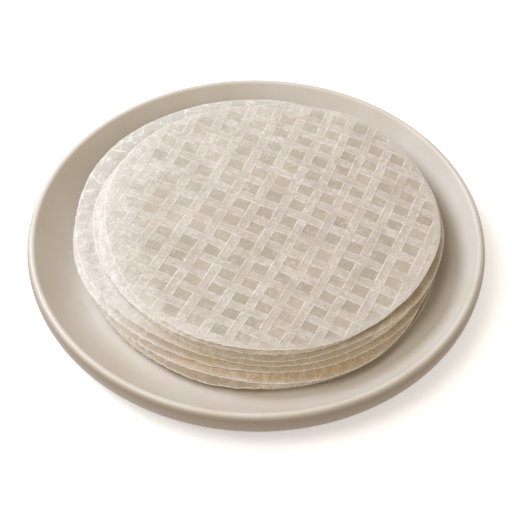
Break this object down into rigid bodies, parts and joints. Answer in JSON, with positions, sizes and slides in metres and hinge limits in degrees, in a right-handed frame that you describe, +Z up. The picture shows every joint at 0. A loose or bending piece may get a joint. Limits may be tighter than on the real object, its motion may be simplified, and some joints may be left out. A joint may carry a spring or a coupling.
{
  "type": "rice paper wrapper stack on a plate",
  "caption": "Low stack of round dried rice paper wrappers with a woven imprint, lying in a round stoneware plate.",
  "frame": {"origin": "centre of the plate's foot ring, on the surface that the plate stands on", "axes": "+Z up, -Y towards the front of the stack, +X to the right"},
  "size_m": [0.29, 0.29, 0.0356],
  "materials": {
    "glazed_stoneware": "satin warm grey-beige glaze over stoneware",
    "dried_rice_paper": "dry translucent starch sheet with a pressed plain-weave imprint"
  },
  "bodies": {
    "root": {"plate": "glazed_stoneware", "wrapper_1": "dried_rice_paper", "wrapper_2": "dried_rice_paper", "wrapper_3": "dried_rice_paper", "wrapper_4": "dried_rice_paper", "wrapper_5": "dried_rice_paper", "wrapper_6": "dried_rice_paper", "wrapper_7": "dried_rice_paper", "wrapper_8": "dried_rice_paper"}
  },
  "joints": []
}
